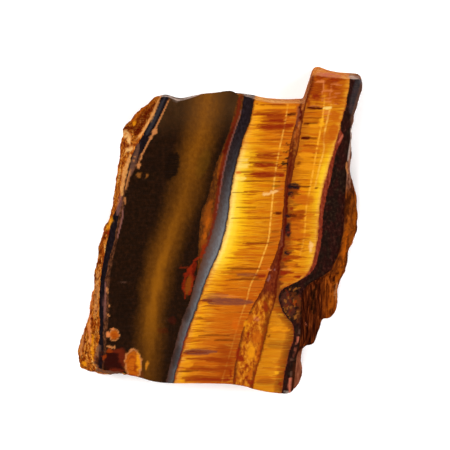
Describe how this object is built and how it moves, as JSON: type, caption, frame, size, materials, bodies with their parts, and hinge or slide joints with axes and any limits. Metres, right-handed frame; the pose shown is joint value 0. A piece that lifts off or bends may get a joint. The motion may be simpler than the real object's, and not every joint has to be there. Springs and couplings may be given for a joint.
{
  "type": "tiger's eye slab",
  "caption": "Slab of banded tiger's eye with a flat polished face, a sawn back, natural rind on both flanks and a broken step low on the right.",
  "frame": {"origin": "middle of the slab's box in X and Y, on the surface that the slab lies on", "axes": "+Z out of the polished face; +Y along the bands of mineral, towards the end with the tab; +X across the bands, towards the dark right edge"},
  "size_m": [0.0862, 0.0982, 0.016],
  "materials": {
    "stone": "polished on the face, sawn on the back, natural rind on the flanks"
  },
  "bodies": {
    "root": {"stone": "stone"}
  },
  "joints": []
}
